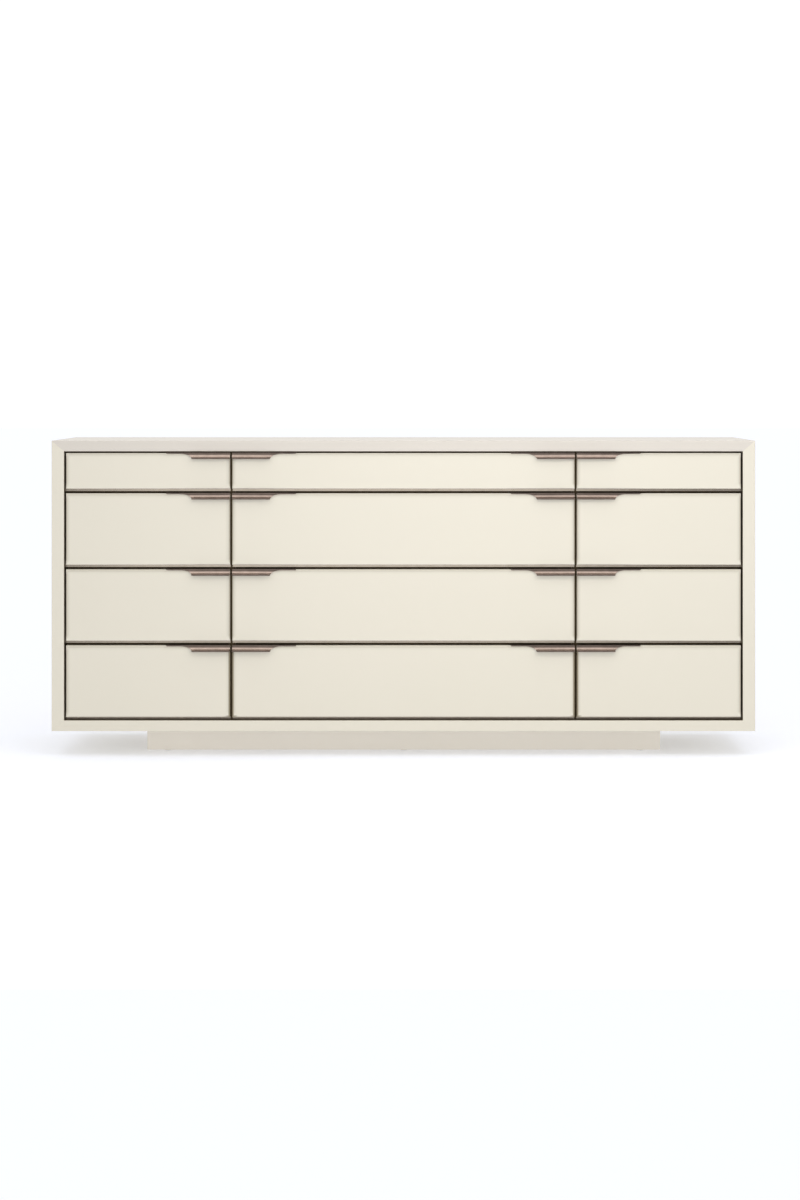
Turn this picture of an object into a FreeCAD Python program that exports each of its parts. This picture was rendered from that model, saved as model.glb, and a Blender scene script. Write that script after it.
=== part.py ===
import FreeCAD, Part
import os

# A long, low dresser of twelve drawers in three columns: a mitred case on a recessed plinth,
# with a bronze face frame behind the drawer fronts and bronze lip pulls at their top corners.
# Millimetres. +X is to the right, the front faces -Y, +Z is up. The origin is on the floor,
# under the middle of the whole object, pulls included.

# ---- Case ----
case_width = 2032.0
case_height = 839.0
case_depth = 508.0
board_thickness = 31.0          # top and bottom boards
side_thickness = 36.0
case_edge_radius = 2.0          # eased front edges of the mitred boards

# ---- Back panel, in a rebate round the rear of the case ----
back_thickness = 8.0
back_rebate_width = 12.0
back_inset = 3.0                # from the case's rear edge to the panel
back_clearance = 0.2

# ---- Plinth and its glides ----
plinth_height = 76.0            # floor to case
plinth_width = 1510.0
plinth_front_setback = 140.0
plinth_back_setback = 30.0
plinth_board = 20.0
glide_height = 2.0              # glide's disc, below the boards
glide_radius = 9.0
glide_pin_radius = 3.0
glide_pin_length = 15.0
glide_hole_clearance = 0.1
glide_inset = 60.0              # from the plinth's end to the outer glides
glides_per_board = 3

# ---- Partitions ----
divide = 497.5                  # centre of each partition, from the middle of the case
partition_thickness = 22.0

# ---- Drawer fronts ----
rows = 4
shallow_front_height = 103.0    # top row; the other rows share the rest equally
front_thickness = 20.0
front_setback = 1.0             # behind the case's front edge
front_edge_radius = 3.0
side_gap = 5.5
top_gap = 5.0
bottom_gap = 10.0
row_gap = 13.5
column_gap = 6.0

# ---- Bronze face frame, of thin bars and angles behind the fronts ----
closing_gap = 1.0               # from the back of a closed front to the frame
frame_metal = 2.0
rail_show = 7.8                 # how far a rail reaches down into the gap between rows
rail_lap = 13.0                 # how far it reaches up behind the front above
rail_flange = 16.0
rail_leg_lap = 2.0              # its rear leg hangs this far below the top of the front under it
liner_setback = 2.0             # behind the case's front edge
top_liner_drop = 8.0

# ---- Drawer boxes ----
box_rear_clearance = 36.0       # from the box to the back panel
box_board = 12.0
box_over_rail = 3.0
box_below_front_top = 12.0
bottom_panel = 6.0
bottom_panel_rise = 8.0         # from the box's lower edge to the panel
groove_depth = 6.0
groove_clearance = 0.25

# ---- Side runners: a fixed channel on the case, and a channel on the drawer inside it ----
runner_space = 12.7
runner_behind_rail = 10.0       # from the rails' flanges to the runners' front ends
runner_end_inset = 13.0         # from the runners' rear ends to the rear of the box
runner_height = 35.0
runner_metal = 1.5
runner_play = 0.4
flange_clearance = 1.2          # from the fixed channel's flanges to the drawer channel's web
liner_clearance = 1.2           # from the drawer channel's flanges to the side liner they pass
runner_above_box_base = 14.0
screw_radius = 2.0
screw_head_radius = 3.5
screw_head_height = 1.2
screw_bite = 8.0                # length in the wood
screw_clearance = 0.1
screw_inset = 30.0              # from the runner's end to its outer screws
screws_per_runner = 2

# ---- Pulls: a flange over the front's top edge, and a cove that ends in a down-turned lip ----
pull_straight = 110.0
pull_flare = 36.0               # the swept outer end
pull_tail = 38.0                # the flange alone, past the flare
pull_reach = 18.0               # from the drawer's face to the lip's front
pull_metal = 2.5
pull_proud = 1.2                # the flange's top, above the drawer's top edge
pull_drop = 18.2                # from the flange's top to the lip's lower edge
pull_band = 3.0                 # upright band above the cove
pull_lip_height = 4.0
pull_lip_rake = 2.5             # the lip's lower edge lies this far behind its crest
pull_cove_foot = 8.7            # where the underside of the cove meets the drawer's face
cove_fullness_out = 0.25        # the cove's deepest point, as shares of its width and height
cove_fullness_down = 0.72
pull_edge_radius = 0.8

# ---- Places that follow from the sizes above ----
case_front_y = (pull_reach - front_setback - case_depth) / 2
case_base = plinth_height
case_crown = case_base + case_height
case_half = case_width / 2
opening_half = case_half - side_thickness
opening_base = case_base + board_thickness
opening_crown = case_crown - board_thickness
back_front_depth = case_depth - back_inset - back_thickness
front_back_depth = front_setback + front_thickness
frame_depth = front_back_depth + closing_gap
frame_back_depth = frame_depth + frame_metal
rail_back_depth = frame_depth + rail_flange
box_back_depth = back_front_depth - box_rear_clearance
runner_depths = (rail_back_depth + runner_behind_rail, box_back_depth - runner_end_inset)
fixed_flange = runner_space - runner_metal - flange_clearance
fronts_height = opening_crown - opening_base - top_gap - bottom_gap - (rows - 1) * row_gap
deep_front_height = (fronts_height - shallow_front_height) / (rows - 1)
plinth_half = plinth_width / 2
plinth_depths = (plinth_front_setback, case_depth - plinth_back_setback)

columns = {"left": -1, "centre": 0, "right": 1}
X_AXIS = FreeCAD.Vector(1, 0, 0)
Y_AXIS = FreeCAD.Vector(0, 1, 0)
Z_AXIS = FreeCAD.Vector(0, 0, 1)
ORIGIN = FreeCAD.Vector(0, 0, 0)
SAME = 0.001                    # lengths closer than this are equal


# ---- Helpers ----
def at(x, depth, z):
    """A point, with its depth counted back from the case's front edge."""
    return FreeCAD.Vector(x, case_front_y + depth, z)


def block(xs, depths, zs):
    """A box between two limits on each axis, given in either order."""
    x0, x1 = sorted(xs)
    d0, d1 = sorted(depths)
    z0, z1 = sorted(zs)
    return Part.makeBox(x1 - x0, d1 - d0, z1 - z0, at(x0, d0, z0))


def round_front_edges(solid, depth, radius):
    """Round the level and upright edges of a solid that lie at the given depth."""
    plane = case_front_y + depth
    edges = []
    for edge in solid.Edges:
        box = edge.BoundBox
        in_front = abs(box.YMin - plane) < SAME and abs(box.YMax - plane) < SAME
        if in_front and min(box.XLength, box.ZLength) < SAME:
            edges.append(edge)
    return solid.makeFillet(radius, edges)


def rod(start, axis, radius, length):
    return Part.makeCylinder(radius, length, start, axis)


def column_limits(column, outer, inner, centre_half):
    """Left and right limits of what stands in a column."""
    if column == 0:
        return (-centre_half, centre_half)
    return tuple(sorted((column * outer, column * inner)))


def front_xs(column):
    half_gap = column_gap / 2
    return column_limits(column, opening_half - side_gap, divide + half_gap, divide - half_gap)


def bay_xs(column):
    half_board = partition_thickness / 2
    return column_limits(column, opening_half, divide + half_board, divide - half_board)


def partition_xs(side):
    middle = side * divide
    return (middle - partition_thickness / 2, middle + partition_thickness / 2)


def front_zs(row):
    """Bottom and top of the fronts in a row, where row 1 is the shallow top row."""
    top = opening_crown - top_gap
    if row == 1:
        return (top - shallow_front_height, top)
    top -= shallow_front_height + row_gap + (row - 2) * (deep_front_height + row_gap)
    return (top - deep_front_height, top)


def rail_zs(row):
    """Lower and upper edge of the rail under a row."""
    base = front_zs(row)[0]
    return (base - rail_show, base + rail_lap)


def box_zs(row):
    return (rail_zs(row)[1] + box_over_rail, front_zs(row)[1] - box_below_front_top)


def runner_mid_z(row):
    return box_zs(row)[0] + runner_above_box_base + runner_height / 2


def box_xs(column):
    left, right = bay_xs(column)
    return (left + runner_space, right - runner_space)


def runner_walls(column):
    """Each wall of a bay that holds a runner, and the way from it into the bay."""
    left, right = bay_xs(column)
    return ((left, 1), (right, -1))


def screw_depths():
    """Depths of one runner's screws, evenly spaced between its two end insets."""
    first = runner_depths[0] + screw_inset
    last = runner_depths[1] - screw_inset
    pitch = (last - first) / (screws_per_runner - 1)
    return [first + i * pitch for i in range(screws_per_runner)]


def runner_places():
    """Wall, inward direction and mid-height of every runner in the case."""
    for column in columns.values():
        for row in range(1, rows + 1):
            for wall, inward in runner_walls(column):
                yield wall, inward, runner_mid_z(row)


# ---- Case boards: four boards, mitred at the corners and rebated for the back panel ----
def mitred_board(outer, inner):
    """A board between its two outer corners and its two inner corners, seen from the front."""
    points = [at(x, 0, z) for x, z in outer + inner[::-1]]
    outline = Part.makePolygon(points + points[:1])
    board = Part.Face(outline).extrude(Y_AXIS * case_depth)
    board = round_front_edges(board, 0, case_edge_radius)
    rebate = block(
        (-opening_half - back_rebate_width, opening_half + back_rebate_width),
        (back_front_depth, case_depth),
        (opening_base - back_rebate_width, opening_crown + back_rebate_width),
    )
    return board.cut(rebate)


def level_board(outer_z, inner_z):
    outer = [(-case_half, outer_z), (case_half, outer_z)]
    inner = [(-opening_half, inner_z), (opening_half, inner_z)]
    return mitred_board(outer, inner)


def case_side(side):
    outer = [(side * case_half, case_base), (side * case_half, case_crown)]
    inner = [(side * opening_half, opening_base), (side * opening_half, opening_crown)]
    return mitred_board(outer, inner).cut(screw_holes())


def back_panel():
    reach = back_rebate_width - back_clearance
    return block(
        (-opening_half - reach, opening_half + reach),
        (back_front_depth, back_front_depth + back_thickness),
        (opening_base - reach, opening_crown + reach),
    )


def partition(side):
    board = block(
        partition_xs(side),
        (frame_back_depth, back_front_depth),
        (opening_base, opening_crown),
    )
    return board.cut(screw_holes())


# ---- Bronze face frame ----
def top_liner():
    """An angle: one leaf under the top board, one turned down behind the top row's gap."""
    xs = (-opening_half, opening_half)
    lying = block(xs, (liner_setback, frame_back_depth), (opening_crown - frame_metal, opening_crown))
    hanging = block(xs, (frame_depth, frame_back_depth), (opening_crown - top_liner_drop, opening_crown))
    return lying.fuse(hanging).removeSplitter()


def bottom_liner():
    """An angle: one leaf on the bottom board, one turned up as the lowest rail."""
    xs = (-opening_half, opening_half)
    lying = block(xs, (liner_setback, frame_back_depth), (opening_base, opening_base + frame_metal))
    standing = block(xs, (frame_depth, frame_back_depth), (opening_base, rail_zs(rows)[1]))
    return lying.fuse(standing).removeSplitter()


def side_liner(side):
    """A flat strip on the case side, clear of both angles."""
    strip = block(
        (side * opening_half, side * (opening_half - frame_metal)),
        (liner_setback, rail_back_depth),
        (opening_base, opening_crown),
    )
    return strip.cut(top_liner()).cut(bottom_liner())


def stile(side):
    """The cap on a partition's front edge, between the two angles."""
    return block(
        partition_xs(side),
        (frame_depth, frame_back_depth),
        (rail_zs(rows)[1], opening_crown - top_liner_drop),
    )


def rail(column, row):
    """A channel across a bay: a face, a flange that runs back from its top, and a leg behind the gap."""
    left, right = bay_xs(column)
    left += frame_metal * (column == -1)
    right -= frame_metal * (column == 1)
    low, high = rail_zs(row)
    face = block((left, right), (frame_depth, frame_back_depth), (low, high))
    flange = block((left, right), (frame_depth, rail_back_depth), (high - frame_metal, high))
    leg_low = front_zs(row + 1)[1] - rail_leg_lap
    leg = block((left, right), (rail_back_depth - frame_metal, rail_back_depth), (leg_low, high))
    return face.fuse([flange, leg]).removeSplitter()


def face_frame():
    bars = [top_liner(), bottom_liner()]
    bars += [side_liner(side) for side in (-1, 1)]
    bars += [stile(side) for side in (-1, 1)]
    bars += [rail(column, row) for column in columns.values() for row in range(1, rows)]
    return Part.makeCompound(bars)


# ---- Plinth ----
def plinth_mid_depths():
    """Depths of the middle of the front board and of the rear board."""
    front, rear = plinth_depths
    return (front + plinth_board / 2, rear - plinth_board / 2)


def glide_places():
    reach = plinth_half - glide_inset
    pitch = 2 * reach / (glides_per_board - 1)
    xs = [i * pitch - reach for i in range(glides_per_board)]
    return [(x, depth) for x in xs for depth in plinth_mid_depths()]


def plinth_frame():
    """A front and a rear board, with cross boards at the ends and under the partitions."""
    front, rear = plinth_depths
    zs = (glide_height, plinth_height)
    xs = (-plinth_half, plinth_half)
    boards = [
        block(xs, (front, front + plinth_board), zs),
        block(xs, (rear - plinth_board, rear), zs),
    ]
    half_board = plinth_board / 2
    for mid_x in (half_board - plinth_half, -divide, divide, plinth_half - half_board):
        cross_xs = (mid_x - half_board, mid_x + half_board)
        boards.append(block(cross_xs, (front + plinth_board, rear - plinth_board), zs))
    hole_radius = glide_pin_radius + glide_hole_clearance
    hole_length = glide_pin_length + glide_hole_clearance
    holes = [rod(at(x, d, glide_height), Z_AXIS, hole_radius, hole_length) for x, d in glide_places()]
    return Part.makeCompound([board.cut(Part.makeCompound(holes)) for board in boards])


def glides():
    made = []
    for x, depth in glide_places():
        disc = rod(at(x, depth, 0), Z_AXIS, glide_radius, glide_height)
        pin = rod(at(x, depth, 0), Z_AXIS, glide_pin_radius, glide_height + glide_pin_length)
        made.append(disc.fuse(pin).removeSplitter())
    return Part.makeCompound(made)


# ---- Runners ----
def channel(xs, web_x, depths, mid_z, height):
    """A channel with its web on web_x's side of xs and two flanges across xs."""
    half = height / 2
    shell = block(xs, depths, (mid_z - half, mid_z + half))
    far_x = xs[0] if web_x == xs[1] else xs[1]
    way = 1 if far_x > web_x else -1
    inner = half - runner_metal
    hollow = block((web_x + way * runner_metal, far_x), depths, (mid_z - inner, mid_z + inner))
    return shell.cut(hollow)


def fixed_runner(wall, inward, mid_z):
    xs = (wall, wall + inward * fixed_flange)
    return channel(xs, wall, runner_depths, mid_z, runner_height)


def drawer_runner(wall, inward, mid_z):
    web_x = wall + inward * runner_space
    flange_x = wall + inward * (frame_metal + liner_clearance)
    height = runner_height - 2 * (runner_metal + runner_play)
    return channel((flange_x, web_x), web_x, runner_depths, mid_z, height)


def case_runners():
    made = [fixed_runner(*place).cut(screw_holes()) for place in runner_places()]
    return Part.makeCompound(made)


def screw(wall, inward, mid_z, depth):
    """A pan-head screw from the runner's web into the board behind it."""
    face_x = wall + inward * runner_metal
    shank = rod(at(face_x, depth, mid_z), X_AXIS * -inward, screw_radius, runner_metal + screw_bite)
    head = rod(at(face_x, depth, mid_z), X_AXIS * inward, screw_head_radius, screw_head_height)
    return head.fuse(shank).removeSplitter()


def runner_screws():
    made = [screw(*place, depth) for place in runner_places() for depth in screw_depths()]
    return Part.makeCompound(made)


def screw_holes():
    """Every screw's hole, through the runner and a little deeper than the screw."""
    radius = screw_radius + screw_clearance
    length = runner_metal + screw_bite + screw_clearance
    holes = []
    for wall, inward, mid_z in runner_places():
        for depth in screw_depths():
            mouth = at(wall + inward * runner_metal, depth, mid_z)
            holes.append(rod(mouth, X_AXIS * -inward, radius, length))
    return Part.makeCompound(holes)


# ---- Drawers ----
def pull_corners(column):
    """The top corners that carry a pull: each beside a gap between two columns."""
    left, right = front_xs(column)
    corners = {-1: [(right, -1)], 0: [(left, 1), (right, -1)], 1: [(left, 1)]}
    return corners[column]


def drawer_front(column, row):
    xs = front_xs(column)
    base, top = front_zs(row)
    board = block(xs, (front_setback, front_back_depth), (base, top))
    board = round_front_edges(board, front_setback, front_edge_radius)
    for edge_x, inward in pull_corners(column):
        seat_xs = (edge_x, edge_x + inward * (pull_straight + pull_flare + pull_tail))
        seat_zs = (top + pull_proud - pull_metal, top)
        board = board.cut(block(seat_xs, (0, front_back_depth), seat_zs))
    return board


def pull_section():
    """The pull's outline on its end, as outward from the drawer's face and downward from the flange's top."""

    def point(out, down):
        return at(0, front_setback - out, -down)

    lip_top = pull_drop - pull_lip_height
    cove_width = pull_reach - pull_metal
    cove_height = lip_top - pull_band
    cove_out = pull_metal + cove_fullness_out * cove_width
    cove_down = pull_band + cove_fullness_down * cove_height
    slope = (cove_width ** 2 + cove_height ** 2) ** 0.5
    under_out = cove_out - pull_metal * cove_height / slope
    under_down = cove_down + pull_metal * cove_width / slope
    flange_back = point(-front_thickness, 0)
    crown = point(pull_metal, 0)
    band_foot = point(pull_metal, pull_band)
    lip_crest = point(pull_reach, lip_top)
    lip_front = point(pull_reach - pull_lip_rake, pull_drop)
    lip_back = point(pull_reach - pull_lip_rake - pull_metal, pull_drop)
    hollow_rake = pull_lip_rake * pull_metal / pull_lip_height
    hollow_top = point(pull_reach - pull_metal - hollow_rake, lip_top + pull_metal)
    cove_foot = point(0, pull_cove_foot)
    inner_corner = point(0, pull_metal)
    flange_under = point(-front_thickness, pull_metal)
    edges = [
        Part.makeLine(flange_back, crown),
        Part.makeLine(crown, band_foot),
        Part.Arc(band_foot, point(cove_out, cove_down), lip_crest).toShape(),
        Part.makeLine(lip_crest, lip_front),
        Part.makeLine(lip_front, lip_back),
        Part.makeLine(lip_back, hollow_top),
        Part.Arc(hollow_top, point(under_out, under_down), cove_foot).toShape(),
        Part.makeLine(cove_foot, inner_corner),
        Part.makeLine(inner_corner, flange_under),
        Part.makeLine(flange_under, flange_back),
    ]
    return Part.Face(Part.Wire(edges))


def flare_cutter():
    """The space below the swept end and below the tail, seen from the front."""
    reach = front_thickness + 2 * pull_reach
    sweep_height = pull_drop - pull_metal
    centre_x = pull_straight + pull_flare
    oval = Part.Ellipse(ORIGIN, pull_flare, sweep_height).toShape()
    sweep = Part.Face(Part.Wire([oval])).extrude(Z_AXIS * reach)
    sweep.rotate(ORIGIN, X_AXIS, 90)
    sweep.translate(at(centre_x, front_back_depth, -pull_drop))
    below_tail = block(
        (centre_x, centre_x + 2 * pull_tail),
        (front_back_depth - reach, front_back_depth),
        (-pull_metal, -pull_drop - sweep_height),
    )
    return sweep.fuse(below_tail)


def lip_edges(solid):
    """The long edges of the lip: its crest, and both edges of its foot."""
    lip_y = case_front_y + front_setback - pull_reach
    long_edges = [e for e in solid.Edges if e.BoundBox.XLength > pull_straight]
    return [e for e in long_edges if e.BoundBox.YMin < lip_y + pull_lip_rake + pull_metal / 2]


def pull(edge_x, inward, top):
    """One pull, whose square end stands at edge_x."""
    length = pull_straight + pull_flare + pull_tail
    body = pull_section().extrude(X_AXIS * length)
    body = body.makeFillet(pull_edge_radius, lip_edges(body)).cut(flare_cutter())
    if inward < 0:
        body = body.mirror(ORIGIN, X_AXIS)
    body.translate(FreeCAD.Vector(edge_x, 0, top + pull_proud))
    return body


def drawer_box(column, row):
    """Two sides, a back, an inner front and a bottom panel held in grooves."""
    left, right = box_xs(column)
    low, high = box_zs(row)
    front = front_back_depth
    rear = box_back_depth
    panel_base = low + bottom_panel_rise
    panel_top = panel_base + bottom_panel
    between = (left + box_board, right - box_board)
    reach = groove_depth - groove_clearance
    panel = block(
        (between[0] - reach, between[1] + reach),
        (front + box_board - reach, rear),
        (panel_base, panel_top),
    )
    groove = block(
        (between[0] - groove_depth, between[1] + groove_depth),
        (front + box_board - groove_depth, rear),
        (panel_base - groove_clearance, panel_top),
    )
    boards = [
        block((left, between[0]), (front, rear), (low, high)).cut(groove),
        block((between[1], right), (front, rear), (low, high)).cut(groove),
        block(between, (front, front + box_board), (low, high)).cut(groove),
        block(between, (rear - box_board, rear), (panel_top, high)),
    ]
    return Part.makeCompound(boards + [panel])


def drawer_nodes(name, column, row):
    mid_z = runner_mid_z(row)
    top = front_zs(row)[1]
    label = f"{name}_drawer_{row}"
    runners = [drawer_runner(wall, inward, mid_z) for wall, inward in runner_walls(column)]
    pulls = [pull(edge_x, inward, top) for edge_x, inward in pull_corners(column)]
    return {
        f"{label}_front": drawer_front(column, row),
        f"{label}_box": drawer_box(column, row),
        f"{label}_pull": Part.makeCompound(pulls),
        f"{label}_runners": Part.makeCompound(runners),
    }


# ---- All nodes, one file each ----
def all_nodes():
    nodes = {
        "case_top": level_board(case_crown, opening_crown),
        "case_bottom": level_board(case_base, opening_base),
        "case_side_left": case_side(-1),
        "case_side_right": case_side(1),
        "back_panel": back_panel(),
    }
    nodes["partition_left"] = partition(-1)
    nodes["partition_right"] = partition(1)
    nodes["face_frame"] = face_frame()
    nodes["plinth_frame"] = plinth_frame()
    nodes["levelling_glides"] = glides()
    nodes["case_runners"] = case_runners()
    nodes["runner_screws"] = runner_screws()
    for name, column in columns.items():
        for row in range(1, rows + 1):
            nodes.update(drawer_nodes(name, column, row))
    return nodes


os.makedirs("parts", exist_ok=True)
for node, shape in all_nodes().items():
    shape.exportStep(os.path.join("parts", node + ".step"))
    print(node, len(shape.Solids), "solids,", round(shape.Volume / 1000), "cm3")
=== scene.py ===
# %% [markdown]
# # A long low dresser with twelve drawers
# This lesson dresses a finished CAD model of a dresser for its portrait. The model gives the main sizes
# and places. What is left for Blender is the finish: ivory lacquer, bronze, maple, steel, and the small
# things that a joiner adds, such as dovetails, screws and bumpers. We load the model first, because every
# later piece takes its place from it.

# %% Load the dresser
import math

import bmesh
import bpy
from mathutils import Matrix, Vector


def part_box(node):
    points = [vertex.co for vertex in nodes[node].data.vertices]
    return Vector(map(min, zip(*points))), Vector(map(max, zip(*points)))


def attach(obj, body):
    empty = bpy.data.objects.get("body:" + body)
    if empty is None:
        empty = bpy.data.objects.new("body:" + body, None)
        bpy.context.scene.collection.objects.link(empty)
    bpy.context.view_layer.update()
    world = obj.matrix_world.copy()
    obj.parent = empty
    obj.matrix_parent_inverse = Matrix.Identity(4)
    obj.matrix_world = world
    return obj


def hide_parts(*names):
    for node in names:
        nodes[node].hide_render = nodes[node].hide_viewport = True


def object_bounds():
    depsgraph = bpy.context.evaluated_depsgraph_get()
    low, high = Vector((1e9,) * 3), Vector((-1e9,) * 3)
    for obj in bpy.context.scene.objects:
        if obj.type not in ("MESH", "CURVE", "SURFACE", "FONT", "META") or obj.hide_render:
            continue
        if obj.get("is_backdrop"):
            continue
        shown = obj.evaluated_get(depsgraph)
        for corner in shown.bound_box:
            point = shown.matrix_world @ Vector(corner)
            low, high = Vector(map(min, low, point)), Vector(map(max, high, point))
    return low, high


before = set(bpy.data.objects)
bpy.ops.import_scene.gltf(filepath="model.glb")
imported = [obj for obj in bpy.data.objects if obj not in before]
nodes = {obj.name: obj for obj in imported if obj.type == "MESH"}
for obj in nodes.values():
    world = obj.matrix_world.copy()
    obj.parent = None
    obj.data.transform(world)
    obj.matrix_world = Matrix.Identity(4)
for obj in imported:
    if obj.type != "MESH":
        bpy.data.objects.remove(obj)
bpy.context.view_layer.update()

# %% [markdown]
# Blender counts in metres and a joiner in millimetres, so we keep one factor between them. The drawers
# are named after their column and row, and one list of those names serves every loop below.

# %% Names and units
MM = 0.001
ROWS = 4
COLUMNS = ("left", "centre", "right")
drawers = [f"{column}_drawer_{row}" for column in COLUMNS for row in range(1, ROWS + 1)]
print(len(drawers), "drawers, the first is", drawers[0])

# %% [markdown]
# ## The camera
# Furniture is best shown by a level camera, so that upright edges stay parallel. The lens is then shifted
# to place the piece in the view, as with a view camera. A long lens from seven metres away keeps the top
# nearly edge-on and the sides out of sight.

# %% Level camera with a shifted lens
SENSOR_WIDTH = 36.0
FOCAL_LENGTH = 74.2
SHIFT_ACROSS = -0.0167
SHIFT_UP = -0.1767
CAMERA_PLACE = (0.048, -7.386, 1.067)
QUARTER_TURN = math.radians(90)
lens = bpy.data.cameras.new("portrait_lens")
lens.sensor_width = SENSOR_WIDTH
lens.lens = FOCAL_LENGTH
lens.shift_x = SHIFT_ACROSS
lens.shift_y = SHIFT_UP
camera = bpy.data.objects.new("portrait_camera", lens)
camera.location = CAMERA_PLACE
camera.rotation_euler = (QUARTER_TURN, 0, 0)
bpy.context.scene.collection.objects.link(camera)
bpy.context.scene.camera = camera
print("camera", round(-camera.location.y, 2), "m in front of the middle of the dresser")

# %% [markdown]
# ## The studio
# The dresser stands on a white floor in a white room. A floor that only reflects would turn grey under
# the overhang, so this one glows a little, like a light table. We use the plain view transform, so that a
# white floor comes out white.

# %% Colour and world
scene = bpy.context.scene
scene.view_settings.view_transform = "Standard"
WORLD_STRENGTH = 0.78
world = bpy.data.worlds.new("white_room")
world.use_nodes = True
scene.world = world
sky = world.node_tree.nodes["Background"]
sky.inputs["Color"].default_value = (1.0, 1.0, 1.0, 1.0)
sky.inputs["Strength"].default_value = WORLD_STRENGTH
print("white room at strength", WORLD_STRENGTH)

# %% [markdown]
# Most node trees below need the same two moves: add a node, and feed its sockets from numbers or from
# other nodes. A small helper does both, and three more name the steps that come back most often: a
# colour, a mix of two colours, and a number moved into another range. That keeps each recipe short enough
# to read.

# %% Helpers for node trees
def add(tree, kind, inputs=None, **settings):
    """Adds a node, sets its options, and fills its sockets with values or links."""
    node = tree.nodes.new(kind)
    for name, value in settings.items():
        setattr(node, name, value)
    for name, value in (inputs or {}).items():
        if isinstance(value, bpy.types.NodeSocket):
            tree.links.new(value, node.inputs[name])
        else:
            node.inputs[name].default_value = value
    return node


def rgb(red, green, blue):
    """A linear colour with full alpha."""
    return (red, green, blue, 1.0)


def mixed(tree, factor, first, second):
    """A colour that goes from the first to the second as the factor rises from 0 to 1."""
    inputs = {"Factor": factor, "A": first, "B": second}
    return add(tree, "ShaderNodeMix", inputs, data_type="RGBA").outputs["Result"]


def spread(tree, pattern, start, end, first=0.0, last=1.0):
    """A number that runs from first to last while a pattern runs from start to end."""
    inputs = {"Value": pattern, "From Min": start, "From Max": end, "To Min": first, "To Max": last}
    return add(tree, "ShaderNodeMapRange", inputs).outputs["Result"]


print("node helpers ready")

# %% [markdown]
# Three kinds of ray ask the room for its colour. The camera sees plain white, as if the piece had been
# cut out and laid on white. Matt surfaces see an even grey-white. Polished ones see a real studio: dim
# behind the camera, bright behind the piece, and brightest overhead, which is what draws the light and
# the dark line along every bronze pull.

# %% A room for the camera, for matt surfaces and for gloss
ROOM_FRONT = 0.17
ROOM_BACK = 0.85
CEILING = 2.1
CAMERA_WHITE = 1.1
WHITE = rgb(1, 1, 1)
room = world.node_tree
way = add(room, "ShaderNodeTexCoord").outputs["Generated"]
part_of = add(room, "ShaderNodeSeparateXYZ", {"Vector": way})
depth_light = spread(room, part_of.outputs["Y"], start=-0.3, end=0.6, first=ROOM_FRONT, last=ROOM_BACK)
ceiling_light = spread(room, part_of.outputs["Z"], start=0.3, end=0.85, last=CEILING - ROOM_FRONT)
studio_light = add(room, "ShaderNodeMath", {0: depth_light, 1: ceiling_light}, operation="ADD")
studio = add(room, "ShaderNodeBackground", {
    "Color": WHITE,
    "Strength": studio_light.outputs["Value"],
})
white = add(room, "ShaderNodeBackground", {"Color": WHITE, "Strength": CAMERA_WHITE})
path = add(room, "ShaderNodeLightPath")
for_gloss = add(room, "ShaderNodeMixShader", {
    "Fac": path.outputs["Is Glossy Ray"],
    1: sky.outputs["Background"],
    2: studio.outputs["Background"],
})
for_camera = add(room, "ShaderNodeMixShader", {
    "Fac": path.outputs["Is Camera Ray"],
    1: for_gloss.outputs["Shader"],
    2: white.outputs["Background"],
})
room.links.new(for_camera.outputs["Shader"], room.nodes["World Output"].inputs["Surface"])
print("gloss sees", ROOM_FRONT, "in front,", ROOM_BACK, "behind and", CEILING, "overhead")

# %% [markdown]
# The floor is a wide disc, so that its rim stays out of sight from every side. Polished bronze sees it
# dimmer than it is, as if a dark cloth lay in front of the piece, so the pulls keep a dark lower edge.
# Its white is a little cool, because the ivory case warms the light that reaches the floor beneath it.

# %% A wide disc
FLOOR_RADIUS = 60.0
FLOOR_SIDES = 96
turns = [2 * math.pi * i / FLOOR_SIDES for i in range(FLOOR_SIDES)]
rim = [(FLOOR_RADIUS * math.cos(turn), FLOOR_RADIUS * math.sin(turn), 0.0) for turn in turns]
floor_mesh = bpy.data.meshes.new("floor")
floor_mesh.from_pydata(rim, [], [range(FLOOR_SIDES)])
floor = bpy.data.objects.new("floor", floor_mesh)
scene.collection.objects.link(floor)
floor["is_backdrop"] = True
print("floor is", round(2 * FLOOR_RADIUS), "m across")

# %% Glowing white paint for it
FLOOR_GLOW = 0.33
FLOOR_SHOWN_GLOW = 0.215
FLOOR_IN_GLOSS = 0.42
FLOOR_WHITES = (rgb(0.85, 0.875, 0.955), rgb(0.87, 0.895, 0.975))
floor_material = bpy.data.materials.new("white_floor")
floor_material.use_nodes = True
tree = floor_material.node_tree
tree.nodes.clear()
rays = add(tree, "ShaderNodeLightPath")
glow = add(tree, "ShaderNodeMix", {
    "Factor": rays.outputs["Is Camera Ray"],
    "A": FLOOR_GLOW,
    "B": FLOOR_SHOWN_GLOW,
})
light = add(tree, "ShaderNodeEmission", {"Strength": glow.outputs["Result"]})
clouds = add(tree, "ShaderNodeTexNoise", {"Scale": 0.8, "Detail": 1.0})
tone = mixed(tree, clouds.outputs["Fac"], *FLOOR_WHITES)
paint = add(tree, "ShaderNodeBsdfDiffuse", {"Color": tone})
both = add(tree, "ShaderNodeAddShader", {0: light.outputs["Emission"], 1: paint.outputs["BSDF"]})
mirrored = add(tree, "ShaderNodeEmission", {"Strength": FLOOR_IN_GLOSS})
either = add(tree, "ShaderNodeMixShader", {
    "Fac": rays.outputs["Is Glossy Ray"],
    1: both.outputs["Shader"],
    2: mirrored.outputs["Emission"],
})
add(tree, "ShaderNodeOutputMaterial", {"Surface": either.outputs["Shader"]})
floor_mesh.materials.append(floor_material)
print("floor glows at", FLOOR_GLOW)

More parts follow.
